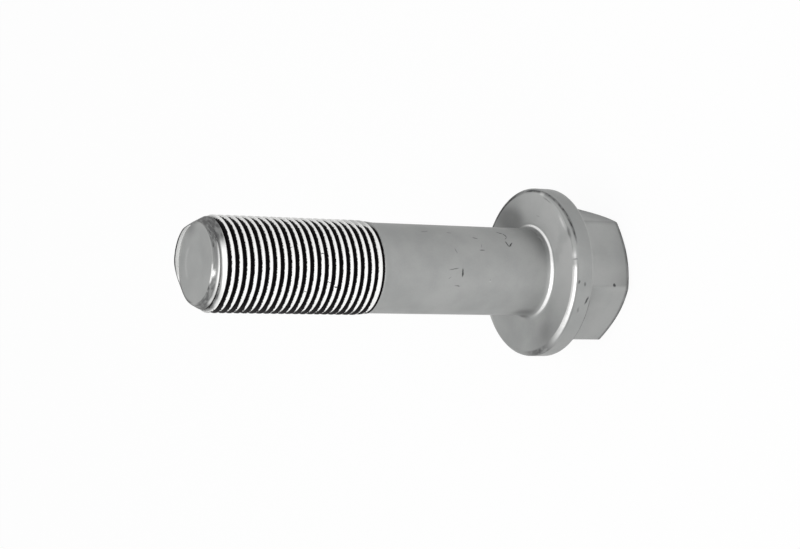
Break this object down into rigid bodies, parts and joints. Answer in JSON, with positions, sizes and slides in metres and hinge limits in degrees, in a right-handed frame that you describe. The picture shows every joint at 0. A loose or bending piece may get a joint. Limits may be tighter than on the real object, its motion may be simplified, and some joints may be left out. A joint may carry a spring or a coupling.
{
  "type": "flanged hexagon bolt",
  "caption": "Steel bolt with a hexagon head, a thick round flange under it, a plain reduced shank and a fine right-hand thread with a tapered, cropped point.",
  "frame": {"origin": "centre of the head's flat top, on which the bolt stands", "axes": "+Z along the bolt's axis, from the head towards the point; +X through a corner of the hexagon"},
  "size_m": [0.0332, 0.0332, 0.0893],
  "materials": {
    "coated_steel": "satin grey zinc-flake coating on steel"
  },
  "bodies": {
    "root": {"bolt": "coated_steel"}
  },
  "joints": []
}
